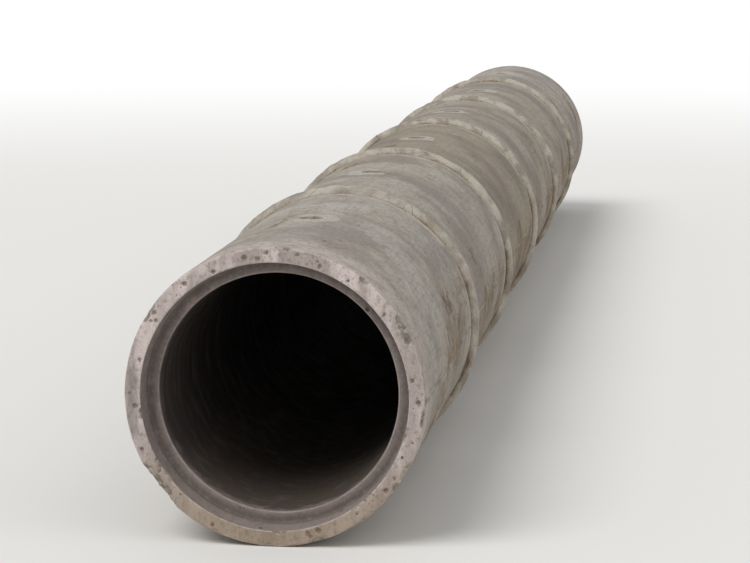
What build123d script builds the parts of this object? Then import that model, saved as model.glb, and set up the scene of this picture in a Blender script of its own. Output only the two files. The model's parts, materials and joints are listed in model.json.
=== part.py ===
from build123d import *
from math import radians, sqrt, tan
import os

# The inlet end of a road culvert: precast concrete pipe with tongue and groove joints.
# All sizes are in millimetres. +Y runs along the barrel, away from the open mouth.
# X is zero on the barrel's centreline and Z is zero on the bedding under it.

# The barrel
bore_diameter = 610.0
wall_thickness = 76.0
section_count = 6
laying_length = 1220.0

# The tongue and groove, which taper towards the bore
lip_thickness = 41.0
groove_depth = 70.0
joint_taper = 5.0
outer_joint_opening = 8.0
inner_joint_opening = 10.0
mortar_thickness = 4.0

# Corners that the end rings of the mould leave
outer_edge_radius = 7.0
bore_edge_radius = 5.0
lip_arris_radius = 4.0
root_radius = 5.0

# Flash along the two joints of the outer mould
flash_width = 10.0
flash_height = 3.0
flash_end_clearance = 6.0

# Hole in the crown that a section is lifted by, and the plug that closes it
lift_hole_mouth_diameter = 66.0
lift_hole_bore_diameter = 50.0
plug_outer_recess = 4.0
plug_inner_recess = 9.0
plug_edge_radius = 3.0

# Bead of mortar trowelled over each joint, and packed under both haunches to the bedding
bead_cover = 30.0
bead_height = 26.0
bead_invert_gap = 160.0

# Sizes that follow from the ones above
bore_radius = bore_diameter / 2
outer_radius = bore_radius + wall_thickness
axis_height = outer_radius
barrel_length = laying_length - outer_joint_opening
tongue_length = groove_depth + outer_joint_opening - inner_joint_opening
total_length = section_count * laying_length - outer_joint_opening + tongue_length
mouth_station = -total_length / 2
bead_width = outer_joint_opening + 2 * bead_cover


def groove_radius(depth):
    """Radius of the groove's tapered wall at a depth behind the face of the lip."""
    return outer_radius - lip_thickness - depth * tan(radians(joint_taper))


def tongue_radius(depth):
    """Radius of the seated tongue at the same depth, inside its film of mortar."""
    return groove_radius(depth) - mortar_thickness


tongue_base_radius = tongue_radius(-outer_joint_opening)
tongue_tip_radius = tongue_radius(groove_depth - inner_joint_opening)
tongue_tip_thickness = tongue_tip_radius - bore_radius
tongue_edge_radius = min(bore_edge_radius, tongue_tip_thickness / 3)
groove_floor_width = groove_radius(groove_depth) - bore_radius
groove_corner_radius = min(root_radius, groove_floor_width / 3)
floor_edge_radius = min(bore_edge_radius, groove_floor_width / 3)


def barrel_plane(station):
    """Plane through the barrel's centreline: local X runs along it and local Y is the radius."""
    return Plane(origin=(0, station, axis_height), x_dir=(0, 1, 0), z_dir=(1, 0, 0))


def barrel_axis(station):
    return Axis((0, station, axis_height), (0, 1, 0))


def ring_plane(station):
    """Plane square across the barrel."""
    return Plane(origin=(0, station, axis_height), x_dir=(1, 0, 0), z_dir=(0, 1, 0))


def lip_station(number):
    """Where the lip of a section starts, with the sections counted from zero at the mouth."""
    return mouth_station + number * laying_length


def make_lift_cone(station, outer_recess, inner_recess, mode):
    """Tapered cone through the crown, cut back from the outside and the bore by the recesses."""
    mouth_radius = lift_hole_mouth_diameter / 2
    slope = (lift_hole_mouth_diameter - lift_hole_bore_diameter) / 2 / wall_thickness
    with Locations((0, station, axis_height + outer_radius - outer_recess)):
        Cone(
            bottom_radius=mouth_radius - slope * (wall_thickness - inner_recess),
            top_radius=mouth_radius - slope * outer_recess,
            height=wall_thickness - outer_recess - inner_recess,
            align=(Align.CENTER, Align.CENTER, Align.MAX),
            mode=mode,
        )


# One precast section: groove at the front, tongue at the back
def make_section(station):
    with BuildPart() as section:
        with BuildSketch(barrel_plane(station)):
            with BuildLine():
                FilletPolyline(
                    (0, groove_radius(0)),
                    (groove_depth, groove_radius(groove_depth)),
                    (groove_depth, bore_radius),
                    (barrel_length + tongue_length, bore_radius),
                    (barrel_length + tongue_length, tongue_tip_radius),
                    (barrel_length, tongue_base_radius),
                    (barrel_length, outer_radius),
                    (0, outer_radius),
                    radius=(
                        lip_arris_radius,
                        groove_corner_radius,
                        floor_edge_radius,
                        tongue_edge_radius,
                        tongue_edge_radius,
                        root_radius,
                        outer_edge_radius,
                        outer_edge_radius,
                    ),
                    close=True,
                )
            make_face()
        revolve(axis=barrel_axis(station))

        flash_start = bead_cover + flash_end_clearance
        with BuildSketch(ring_plane(station + flash_start)):
            with PolarLocations(outer_radius, 2):
                Rectangle(2 * flash_height, flash_width)
        extrude(amount=barrel_length - 2 * flash_start)

        bore_sagitta = bore_radius - sqrt(bore_radius**2 - (lift_hole_bore_diameter / 2) ** 2)
        make_lift_cone(station + barrel_length / 2, 0, -2 * bore_sagitta, Mode.SUBTRACT)
    return section.part


sections = [make_section(lip_station(number)) for number in range(section_count)]


# Mortar packed into one joint, flush with the bore: it fills what the two sections leave
def make_joint_mortar(number):
    station = lip_station(number + 1)
    front = -outer_joint_opening - outer_edge_radius
    back = groove_depth + bore_edge_radius
    with BuildPart() as mortar:
        with BuildSketch(barrel_plane(station)):
            with Locations(((front + back) / 2, (bore_radius + outer_radius) / 2)):
                Rectangle(back - front, wall_thickness)
        revolve(axis=barrel_axis(station))
        add(sections[number : number + 2], mode=Mode.SUBTRACT)
    return mortar.part


# Bead over the outside of one joint, whose two feet stand on the bedding
def make_joint_bead(number):
    station = lip_station(number + 1) - outer_joint_opening / 2
    with BuildPart() as bead:
        with BuildSketch(barrel_plane(station)):
            with BuildLine():
                toe_front = (-bead_width / 2, outer_radius)
                toe_back = (bead_width / 2, outer_radius)
                Line(toe_back, toe_front)
                ThreePointArc(toe_front, (0, outer_radius + bead_height), toe_back)
            make_face()
        revolve(axis=barrel_axis(station))
        split(bisect_by=Plane.XY, keep=Keep.TOP)
        with Locations((0, station, 0)):
            Box(bead_invert_gap, bead_width, outer_radius, mode=Mode.SUBTRACT)
    return bead.part


# Tapered plug set in the lift hole of one section
def make_lift_hole_plug(number):
    station = lip_station(number) + barrel_length / 2
    with BuildPart() as plug:
        make_lift_cone(station, plug_outer_recess, plug_inner_recess, Mode.ADD)
        fillet(plug.edges().sort_by(Axis.Z)[-1], plug_edge_radius)
    return plug.part


pieces = {}
for number, section in enumerate(sections):
    pieces[f"pipe_section_{number + 1}"] = section
    pieces[f"lift_hole_plug_{number + 1}"] = make_lift_hole_plug(number)
for number in range(section_count - 1):
    pieces[f"joint_mortar_{number + 1}"] = make_joint_mortar(number)
    pieces[f"joint_bead_{number + 1}"] = make_joint_bead(number)

os.makedirs("parts", exist_ok=True)
for name, piece in pieces.items():
    piece.label = name
    export_step(piece, f"parts/{name}.step")
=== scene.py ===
"""Dresses the inlet end of a concrete pipe culvert: sections, joint mortar, beads and plugs."""
import json
import math
from itertools import count

import bmesh
import bpy
import numpy as np
from bpy.props import FloatProperty, FloatVectorProperty, PointerProperty
from mathutils import Color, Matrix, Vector


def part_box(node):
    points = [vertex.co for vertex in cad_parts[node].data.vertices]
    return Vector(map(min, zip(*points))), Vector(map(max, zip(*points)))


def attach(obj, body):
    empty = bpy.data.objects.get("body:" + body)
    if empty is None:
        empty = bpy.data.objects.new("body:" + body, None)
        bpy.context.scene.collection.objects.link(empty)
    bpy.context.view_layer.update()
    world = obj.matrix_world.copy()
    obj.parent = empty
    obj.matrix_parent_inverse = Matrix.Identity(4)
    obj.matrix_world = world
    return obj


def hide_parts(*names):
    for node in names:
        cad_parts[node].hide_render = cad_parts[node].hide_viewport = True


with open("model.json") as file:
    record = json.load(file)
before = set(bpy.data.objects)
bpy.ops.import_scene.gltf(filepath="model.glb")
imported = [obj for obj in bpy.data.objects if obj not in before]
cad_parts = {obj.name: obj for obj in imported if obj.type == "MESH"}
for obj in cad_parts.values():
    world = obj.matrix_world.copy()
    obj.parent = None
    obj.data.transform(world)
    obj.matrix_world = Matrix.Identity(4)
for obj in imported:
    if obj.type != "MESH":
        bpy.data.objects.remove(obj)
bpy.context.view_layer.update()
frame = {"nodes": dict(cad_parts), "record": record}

bl_info = {
    "name": "Concrete pipe culvert end",
    "version": (1, 0, 0),
    "blender": (4, 5, 0),
    "location": "3D View > Sidebar > Culvert",
    "description": "Weathered tongue and groove pipe sections with mortared joints",
    "category": "Object",
}

MM = 0.001

# How far raised surfaces stay inside the CAD model's, at the flash and at the beads
FLASH_CLEARANCE, BEAD_CLEARANCE = 0.1 * MM, 0.3 * MM

SECTIONS, MORTARS, BEADS, PLUGS = (
    sorted(name for name in frame["nodes"] if name.startswith(kind))
    for kind in ("pipe_section", "joint_mortar", "joint_bead", "lift_hole_plug")
)

# Sizes and places that the frame gives, in metres
SECTION_LOW, SECTION_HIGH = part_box(SECTIONS[0])
BEAD_LOW, BEAD_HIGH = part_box(BEADS[0])
MOUTH_Y = SECTION_LOW.y
AXIS_Z = (SECTION_LOW.z + SECTION_HIGH.z) / 2
OUTER_RADIUS = round((SECTION_HIGH.z - SECTION_LOW.z) / 2, 3)
BORE_RADIUS = frame["record"]["mounts"][0]["dims"]["r_mm"] * MM
SECTION_LENGTH = SECTION_HIGH.y - SECTION_LOW.y
LAYING_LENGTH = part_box(SECTIONS[1])[0].y - MOUTH_Y
BEAD_HEIGHT = BEAD_HIGH.x - OUTER_RADIUS
BEAD_WIDTH = BEAD_HIGH.y - BEAD_LOW.y


def hex_to_linear(code):
    """sRGB hex to linear. A channel c, over 255, is c / 12.92 up to 0.04045, and above it
    ((c + 0.055) / 1.055)^2.4."""
    channels = np.array([int(code[i : i + 2], 16) for i in (1, 3, 5)]) / 255
    low = channels / 12.92
    high = ((channels + 0.055) / 1.055) ** 2.4
    return tuple(np.where(channels <= 0.04045, low, high).tolist())


def length_property(name, description, default):
    """Length in metres, never negative."""
    return FloatProperty(
        name=name, description=description, default=default, unit="LENGTH", min=0.0
    )


def colour_property(name, description, code):
    """Colour that is written as sRGB hex and kept linear."""
    return FloatVectorProperty(
        name=name,
        description=description,
        default=hex_to_linear(code),
        subtype="COLOR",
        size=3,
        min=0.0,
        max=1.0,
    )


class CulvertSizes(bpy.types.PropertyGroup):
    """Sizes of the tongue and groove joint and of what closes it."""

    lip_thickness: length_property("Lip", "Thickness of the groove's lip at its face", 0.041)
    groove_depth: length_property("Groove depth", "Depth of the groove behind the lip", 0.070)
    joint_taper: FloatProperty(
        name="Taper",
        description="Taper of tongue and groove",
        default=math.radians(5),
        subtype="ANGLE",
    )
    outer_opening: length_property("Outer opening", "Gap between two sections outside", 0.008)
    inner_opening: length_property("Inner opening", "Gap between two sections in the bore", 0.010)
    mortar_film: length_property("Mortar film", "Mortar between tongue and groove", 0.004)
    edge_radius: length_property("Edge radius", "Rounding of the outer edges", 0.007)
    bore_edge_radius: length_property("Bore edge radius", "Rounding of the bore's edges", 0.005)
    arris_radius: length_property("Arris radius", "Rounding of the lip's inner arris", 0.004)
    flash_width: length_property("Flash width", "Width of the mould's flash line", 0.010)
    flash_height: length_property("Flash height", "Height of the mould's flash line", 0.003)
    hole_mouth: length_property("Lift hole outside", "Width of the hole at the outside", 0.066)
    hole_bore: length_property("Lift hole inside", "Width of the hole at the bore", 0.050)
    foot_gap: length_property("Foot gap", "Gap under the invert between a bead's feet", 0.160)


class CulvertColours(bpy.types.PropertyGroup):
    """Colours of concrete, mortar and what has settled on them."""

    concrete_light: colour_property("Concrete, light", "Dry cement skin of the barrel", "#ADA598")
    concrete_dark: colour_property("Concrete, dark", "Damp or lean patches of it", "#8B837A")
    # Also painted highlight on the arrises
    weathered_light_and_highlight: colour_property("Weathered, light", "Sun-bleached concrete", "#D5C6C1")
    weathered_dark: colour_property("Weathered, dark", "Grey film on bleached concrete", "#ADA09A")
    grime: colour_property("Grime", "Dark growth where rain keeps concrete damp", "#6A625C")
    # Painted shade in the groove, with the dirt settled there; also the colour of drips and seeps
    groove_dirt_and_shade: colour_property("Groove", "Dirt settled in the groove", "#8A7E79")
    # Also painted shade: the darkness of the bore
    bore_film_and_shade: colour_property("Bore film", "Black film of silt and algae in the bore", "#413A37")
    # Also painted shade in air holes, in hollow corners and on the mortar in the bore
    bore_silt_and_shade: colour_property("Bore silt", "Silt dried on below the water line", "#4C433B")
    clay: colour_property("Clay", "Dry clay that clings to the buried outside", "#97856D")
    # Also painted shade in air holes and along the foot of the mould flash
    topsoil_and_shade: colour_property("Topsoil", "Dark soil that clings to the buried outside", "#675746")
    lime: colour_property("Lime", "White lime leached out at the joints", "#D2CCC1")
    # Also painted highlight on the fin of the mould flash
    mortar_light_and_highlight: colour_property("Mortar, light", "Dry trowelled mortar", "#C0B8AB")
    mortar_dark: colour_property("Mortar, dark", "Damp or dirty mortar", "#968D80")
    grout: colour_property("Grout", "Grout of the lift hole plugs", "#9A958B")
    aggregate: colour_property("Aggregate", "Gravel bared by a spall", "#7C7268")


# Noise and mesh building

LATTICE_VALUES = 8192
LATTICE_PRIMES = np.array([73856093, 19349663, 83492791])


def smoothstep(low, high, values):
    """The curve 3t^2 - 2t^3, where t runs from 0 at low to 1 at high and stays there beyond."""
    part = np.clip((values - low) / (high - low), 0, 1)
    return part * part * (3 - 2 * part)


def lattice_noise(points, cell, seed):
    """Smooth noise, -1 to 1: random values at the corners of a lattice of this cell size, each
    found by a hash of its place, blended along each axis by the smoothstep curve."""
    table = np.random.default_rng(seed).uniform(-1, 1, LATTICE_VALUES)
    scaled = np.asarray(points) / cell
    corner = np.floor(scaled).astype(np.int64)
    part = smoothstep(0, 1, scaled - corner)
    total = np.zeros(scaled.shape[:-1])
    for offset in np.ndindex(2, 2, 2):
        place = (corner + offset) * LATTICE_PRIMES
        weight = np.prod(np.where(np.array(offset) == 1, part, 1 - part), axis=-1)
        total += weight * table[np.bitwise_xor.reduce(place, axis=-1) % LATTICE_VALUES]
    return total


def layered_noise(points, cell, layers, seed):
    """Sum of lattice noises over the sum of their heights: each has half the cell and half the
    height of the one before."""
    heights = 0.5 ** np.arange(layers)
    total = sum(
        height * lattice_noise(points, cell * height, seed + layer)
        for layer, height in enumerate(heights)
    )
    return total / heights.sum()


def build_mesh(name, points, face_groups, attributes, material, crease_degrees=50):
    """Closed mesh from an array of points and arrays of faces. Points that no face uses are
    dropped, normals face out, and edges that turn by more than the crease stay sharp."""
    used = np.zeros(len(points), bool)
    for faces in face_groups:
        used[faces.ravel()] = True
    renumber = np.cumsum(used) - 1
    points = points[used]
    corners = np.concatenate([renumber[faces].ravel() for faces in face_groups])
    sizes = np.concatenate([np.full(len(faces), faces.shape[1]) for faces in face_groups])
    mesh = bpy.data.meshes.new(name)
    mesh.vertices.add(len(points))
    mesh.vertices.foreach_set("co", points.astype(np.float32).ravel())
    mesh.loops.add(len(corners))
    mesh.loops.foreach_set("vertex_index", corners.astype(np.int32))
    mesh.polygons.add(len(sizes))
    mesh.polygons.foreach_set("loop_start", (np.cumsum(sizes) - sizes).astype(np.int32))
    mesh.update(calc_edges=True)
    mesh.validate()
    for key, values in attributes.items():
        layer = mesh.attributes.new(key, "FLOAT", "POINT")
        layer.data.foreach_set("value", values[used].astype(np.float32))
    shell = bmesh.new()
    shell.from_mesh(mesh)
    bmesh.ops.recalc_face_normals(shell, faces=shell.faces)
    shell.to_mesh(mesh)
    shell.free()
    mesh.polygons.foreach_set("use_smooth", np.ones(len(mesh.polygons), bool))
    mesh.set_sharp_from_angle(angle=math.radians(crease_degrees))
    mesh.materials.append(material)
    piece = bpy.data.objects.new(name, mesh)
    bpy.context.scene.collection.objects.link(piece)
    return piece


def grid_faces(rows, columns, close_rows, close_columns):
    """Quads of a grid of points that may close on itself in either direction: each joins a
    point to the next in its row, the one after that row and the next in its column."""
    row = np.arange(rows if close_rows else rows - 1)[:, None]
    column = np.arange(columns if close_columns else columns - 1)[None, :]
    next_row = (row + 1) % rows
    next_column = (column + 1) % columns
    quads = [row * columns + column, row * columns + next_column]
    quads += [next_row * columns + next_column, next_row * columns + column]
    return np.stack(quads, axis=-1)


def strip_faces(numbers):
    """Quads between rows of point numbers, each row closed on itself."""
    return numbers.ravel()[grid_faces(*numbers.shape, False, True)].reshape(-1, 4)


def fan_faces(rim, hub):
    """Triangles from a closed rim of point numbers to the number of one point inside it."""
    return np.stack([rim, np.roll(rim, -1), np.full(len(rim), hub)], axis=-1)


def barrel_point(station, radius, angle):
    """Point at a station, radius and angle from the crown: x is r sin a, y is the station and
    z is the axis height plus r cos a."""
    station, radius, angle = np.broadcast_arrays(station, radius, angle)
    x, z = radius * np.sin(angle), AXIS_Z + radius * np.cos(angle)
    return np.stack([x, station, z], axis=-1)


# Outlines in the plane of station and radius

# In how many steps the spacing along a run grows, how many steps an arc has, and how far from
# its corner, in reaches of the arc, the next point of a run lies at least
GRADED_STEPS = 8
ARC_STEPS = 4
CLEAR_OF_ARC = 1.2


def rounded_outline(corners, radii, runs):
    """Closed outline: straight runs, divided at the given distances from their first corner,
    and at each corner an arc tangent to both runs, whose centre lies r / sin(half the opening)
    along the bisector. Also gives each point's rounding: 1 at the middle of an arris' arc, -1
    at that of a hollow corner, and 0 on the runs."""
    corners = np.array(corners, float)
    sweep = np.linspace(-0.5, 0.5, ARC_STEPS + 1)
    points, rounding = [], []
    for index, radius in enumerate(radii):
        corner = corners[index]
        back = corners[index - 1] - corner
        ahead = corners[(index + 1) % len(corners)] - corner
        back /= np.linalg.norm(back)
        run_length = np.linalg.norm(ahead)
        ahead /= run_length
        opening = math.acos(np.clip(back @ ahead, -1, 1))
        middle = (back + ahead) / np.linalg.norm(back + ahead)
        centre = corner + middle * radius / math.sin(opening / 2)
        turn = sweep * (math.pi - opening)
        side = np.array([-middle[1], middle[0]])
        side *= np.sign(side @ ahead)
        arc = radius * (-np.cos(turn)[:, None] * middle + np.sin(turn)[:, None] * side)
        points.append(centre + arc)
        convex = np.sign(back[1] * ahead[0] - back[0] * ahead[1])
        rounding.append(convex * np.cos(sweep * math.pi))
        clear = CLEAR_OF_ARC * radius / math.tan(opening / 2)
        inner = runs[index][(runs[index] > clear) & (runs[index] < run_length - clear)]
        points.append(corner + inner[:, None] * ahead)
        rounding.append(np.zeros(len(inner)))
    return np.concatenate(points), np.concatenate(rounding)


def outline_normals(outline):
    """Outward unit normals of a closed outline: the chord between neighbours, turned by 90."""
    chord = np.roll(outline, -1, axis=0) - np.roll(outline, 1, axis=0)
    normals = np.stack([chord[:, 1], -chord[:, 0]], axis=-1)
    return normals / np.linalg.norm(normals, axis=1, keepdims=True)


def even_run(length, step):
    """Distances that divide a run evenly, by about this step, without its two ends."""
    steps = max(int(round(length / step)), 2)
    return np.linspace(0, length, steps + 1)[1:-1]


def graded_run(length, fine, coarse, hole):
    """Distances along a run: the steps grow by one ratio from fine at both ends to coarse, and
    are even across the block round a lift hole."""
    low, high = hole - HOLE_REACH, hole + HOLE_REACH
    growing = np.geomspace(fine, coarse, GRADED_STEPS)
    near, far = (
        np.cumsum(np.concatenate([growing, np.full(max(int(reach / coarse), 1), coarse)]))
        for reach in (low, length - high)
    )
    near = near[near < low - coarse / 2]
    far = length - far[far < length - high - coarse / 2][::-1]
    return np.concatenate([near, np.linspace(low, high, HOLE_STEPS + 1), far])


# The pipe sections

# Half the side of the block of mesh round a lift hole, in metres, and the steps across half of
# it, from it in to the hole's edge, and down the hole's wall
HOLE_REACH = 0.060
HOLE_STEPS = 8
HOLE_RINGS = 6
HOLE_WALL_STEPS = 6

# Steps of a section's mesh: along the lip and along the tongue in metres, and how many go round
MOUTH_STEPS = (0.0032, 0.012, 610)
MIDDLE_STEPS = (0.012, 0.012, 270)
OUTLET_STEPS = (0.012, 0.005, 340)

# The finest and coarsest step along the bore and along the outside, in metres
BORE_STEPS = (0.014, 0.075)
OUTSIDE_STEPS = (0.005, 0.024)

# Where the mesh has points across a line of flash, in half widths of it
FLASH_COLUMNS = np.array([-1.8, -1.3, -0.95, -0.5, 0, 0.5, 0.95, 1.3, 1.8])

# Relief of the cast skin, in metres: how high it swells, is pitted and is rough in a spall, and
# over what distance
SWELL_HEIGHT, SWELL_CELL = 0.5 * MM, 0.35
PITTING_HEIGHT, PITTING_CELL = 0.55 * MM, 0.045
RUBBLE_HEIGHT, RUBBLE_CELL = 1.2 * MM, 0.009

# Over what distance flash breaks off, how near a section's end it fades, and over what distance
# the edge of a dent wanders, in metres, then how far it does, in the dent's own radii
FLASH_CELL, FLASH_END_FADE, DENT_EDGE_CELL = 0.07, 0.05, 0.012
CHIP_WANDER, AIR_HOLE_WANDER = 0.22, 0.05

# The outward part of a normal where the skin begins and where it is the skin in full
FACING = (0.5, 0.9)

# How far from the plug's middle grout is wiped at most, in metres, and where its smear starts and
# is full, in widths of the lift hole
WIPE_OFFSET = 0.022
WIPE_REACH = (1.6, 0.5)

# From how far off and how near the hollow corners get painted shade, with some dirt, in metres
HOLLOW_REACH = (0.026, 0.004)

# What is added to a section's seed for each thing that is random on it, and the seeds for where
# the wear of the two open ends lies
PITTING, FLASH_BREAKS, CHIP_EDGES, RUBBLE, AIR_HOLES, GROUT_WIPE = 7, 13, 19, 23, 29, 31
MOUTH_CHIP_SEED, LIP_HOLE_SEED, TONGUE_CHIP_SEED = 41, 57, 77

SECTION_MASKS = (
    "bore_skin", "outer_skin", "groove", "hollow", "arris",
    "spall", "air_hole", "flash", "grout_smear", "casting",
)


class JointShape:
    """Radii of the tapered groove and tongue at a depth behind the lip's face."""

    def __init__(self, sizes):
        self.slope = math.tan(sizes.joint_taper)
        self.lip_radius = OUTER_RADIUS - sizes.lip_thickness
        self.film = sizes.mortar_film

    def groove(self, depth):
        """The lip's inner radius, less the depth times the taper's tangent."""
        return self.lip_radius - depth * self.slope

    def tongue(self, depth):
        """The groove's radius, less the film of mortar."""
        return self.groove(depth) - self.film


def section_outline(sizes, lip_step, tongue_step):
    """Outline of the wall: groove, bore, tongue, shoulder, outside and lip."""
    joint = JointShape(sizes)
    barrel = LAYING_LENGTH - sizes.outer_opening
    depth = sizes.groove_depth
    tip_radius = joint.tongue(depth - sizes.inner_opening)
    corners = [
        (0, joint.groove(0)),
        (depth, joint.groove(depth)),
        (depth, BORE_RADIUS),
        (SECTION_LENGTH, BORE_RADIUS),
        (SECTION_LENGTH, tip_radius),
        (barrel, joint.tongue(-sizes.outer_opening)),
        (barrel, OUTER_RADIUS),
        (0, OUTER_RADIUS),
    ]
    radii = [sizes.arris_radius] + [sizes.bore_edge_radius] * 5 + [sizes.edge_radius] * 2
    runs = [
        even_run(depth, 2 * lip_step),
        even_run(joint.groove(depth) - BORE_RADIUS, 1.5 * lip_step),
        graded_run(SECTION_LENGTH - depth, *BORE_STEPS, barrel / 2 - depth),
        even_run(tip_radius - BORE_RADIUS, tongue_step),
        even_run(depth, tongue_step),
        even_run(sizes.lip_thickness, tongue_step),
        graded_run(barrel, *OUTSIDE_STEPS, barrel / 2),
        even_run(sizes.lip_thickness, lip_step),
    ]
    return rounded_outline(corners, radii, runs)


def section_angles(sizes, around):
    """Angles from the crown, -pi to pi: even, but for their own columns across the two lines of
    flash and the block round the lift hole."""
    even = np.linspace(-math.pi, math.pi, around, endpoint=False)
    across = FLASH_COLUMNS * sizes.flash_width / 2 / OUTER_RADIUS
    flash = np.concatenate([side * math.pi / 2 + across for side in (-1, 1)])
    block_edge = HOLE_REACH / OUTER_RADIUS
    block = np.linspace(-block_edge, block_edge, 2 * HOLE_STEPS + 1)
    gap = math.pi / around
    clear = np.abs(np.abs(even) - math.pi / 2) > across[-1] + gap
    clear &= np.abs(even) > block_edge + gap
    return np.sort(np.concatenate([even[clear], flash, block]))


def block_border(grid, block):
    """Border of a block of a grid of point numbers, in order round it."""
    rows, columns = block
    inside = grid[rows.start : rows.stop + 1, columns.start : columns.stop + 1]
    sides = [inside[0, :-1], inside[:-1, -1], inside[-1, :0:-1], inside[:0:-1, 0]]
    return np.concatenate(sides)


def hole_patch(outline, angles, grid, radius, hole_radius, middle, bearings=None):
    """Rings that carry a square block of the grid in to the lift hole's round edge, by a
    straight blend of the two. Gives the block, the rings as station, radius and angle, the
    numbers of the border's points and their bearings from the hole's middle."""
    on_skin = np.abs(outline[:, 1] - radius) < 1e-6
    rows = np.flatnonzero(on_skin & (np.abs(outline[:, 0] - middle) < HOLE_REACH + 1e-6))
    columns = np.flatnonzero(np.abs(angles) < HOLE_REACH / OUTER_RADIUS + 1e-6)
    block = (slice(rows[0], rows[-1]), slice(columns[0], columns[-1]))
    numbers = block_border(grid, block)
    row, column = np.divmod(numbers, len(angles))
    border = np.stack([angles[column] * radius, outline[row, 0] - middle], axis=-1)
    order = np.argsort(np.arctan2(border[:, 1], border[:, 0]))
    numbers, border = numbers[order], border[order]
    if bearings is None:
        bearings = np.arctan2(border[:, 1], border[:, 0])
    circle = hole_radius * np.stack([np.cos(bearings), np.sin(bearings)], axis=-1)
    blend = (np.arange(1, HOLE_RINGS + 1) / HOLE_RINGS)[:, None, None]
    across, along = np.moveaxis(border + blend * (circle - border), -1, 0)
    rings = np.stack([along + middle, np.full(across.shape, radius), across / radius], axis=-1)
    return block, rings, numbers, bearings


def section_skin(sizes, steps):
    """Skin of a section before any wear: its outline carried round the axis, with rings that
    lead in to both edges of the lift hole. Gives each point's station, radius and angle, its
    normal as a part along the barrel and a part outwards, how sharp an edge it lies on, the
    faces, and the point numbers of the hole's two edges."""
    lip_step, tongue_step, around = steps
    outline, rounding = section_outline(sizes, lip_step, tongue_step)
    angles = section_angles(sizes, around)
    shape = (len(outline), len(angles))
    total = math.prod(shape)
    grid = np.arange(total).reshape(shape)
    middle = (LAYING_LENGTH - sizes.outer_opening) / 2
    patch = (outline, angles, grid)
    outer = hole_patch(*patch, OUTER_RADIUS, sizes.hole_mouth / 2, middle)
    inner = hole_patch(*patch, BORE_RADIUS, sizes.hole_bore / 2, middle, outer[-1])

    carried = np.broadcast_arrays(outline[:, :1], outline[:, 1:], angles[None, :])
    coordinates = [np.stack(carried, axis=-1).reshape(-1, 3)]
    normals = [np.repeat(outline_normals(outline), len(angles), axis=0)]
    edges = [np.repeat(np.maximum(rounding, 0), len(angles))]
    ring_edges = smoothstep(0.6, 1.0, np.arange(1, HOLE_RINGS + 1) / HOLE_RINGS)
    kept = np.ones(shape, bool)
    strips, rims = [], []
    for (block, rings, border, _), facing in ((outer, 1.0), (inner, -1.0)):
        kept[block] = False
        size = math.prod(rings.shape[:2])
        numbers = total + np.arange(size).reshape(rings.shape[:2])
        strips.append(strip_faces(np.concatenate([border[None, :], numbers])))
        coordinates.append(rings.reshape(-1, 3))
        normals.append(np.tile([0.0, facing], (size, 1)))
        edges.append(np.repeat(ring_edges, rings.shape[1]))
        rims.append(numbers[-1])
        total += size
    faces = [grid_faces(*shape, True, True)[kept], *strips]
    coordinates, normals, edges = map(np.concatenate, (coordinates, normals, edges))
    return coordinates, normals, edges, faces, rims


def flash_cover(points, station, angle, sizes, seed):
    """Mould flash along both sides of the barrel, 0 to 1 of its height: a ridge at 90 degrees
    from the crown, broken off in places by noise that runs along it, and gone at both ends."""
    across = np.abs(np.abs(angle) - math.pi / 2) * OUTER_RADIUS
    ridge = smoothstep(sizes.flash_width * 0.62, sizes.flash_width * 0.3, across)
    from_end = np.clip(np.minimum(station, LAYING_LENGTH - station) / FLASH_END_FADE, 0, 1)
    broken = 0.70 + 1.3 * layered_noise(points * (0.2, 1.0, 0.2), FLASH_CELL, 3, seed)
    return ridge * smoothstep(0.7, 1.0, from_end) * np.clip(broken, 0.0, 1.0)


def dents(points, start, marks, wander, seed):
    """Depth and cover of dents in the skin. Each mark is an ellipsoid about a place on the
    barrel, long round it, and at a distance d in its own radii, made uneven by noise, it bites
    (1 - d^2)^0.6 of its depth."""
    depths, cover = np.zeros((2, len(points)))
    uneven = wander * lattice_noise(points, DENT_EDGE_CELL, seed)
    for station, radius, angle, length, width, depth in marks:
        offset = points - barrel_point(start + station, radius, angle)
        sideways = offset @ np.array([math.cos(angle), 0.0, -math.sin(angle)])
        others = (offset**2).sum(axis=1) - sideways**2
        distance = np.sqrt((sideways / length) ** 2 + others / width**2)
        bite = np.clip(1 - (distance + uneven) ** 2, 0, 1)
        depths = np.maximum(depths, depth * bite**0.6)
        cover = np.maximum(cover, smoothstep(0.02, 0.2, bite))
    return depths, cover


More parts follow.
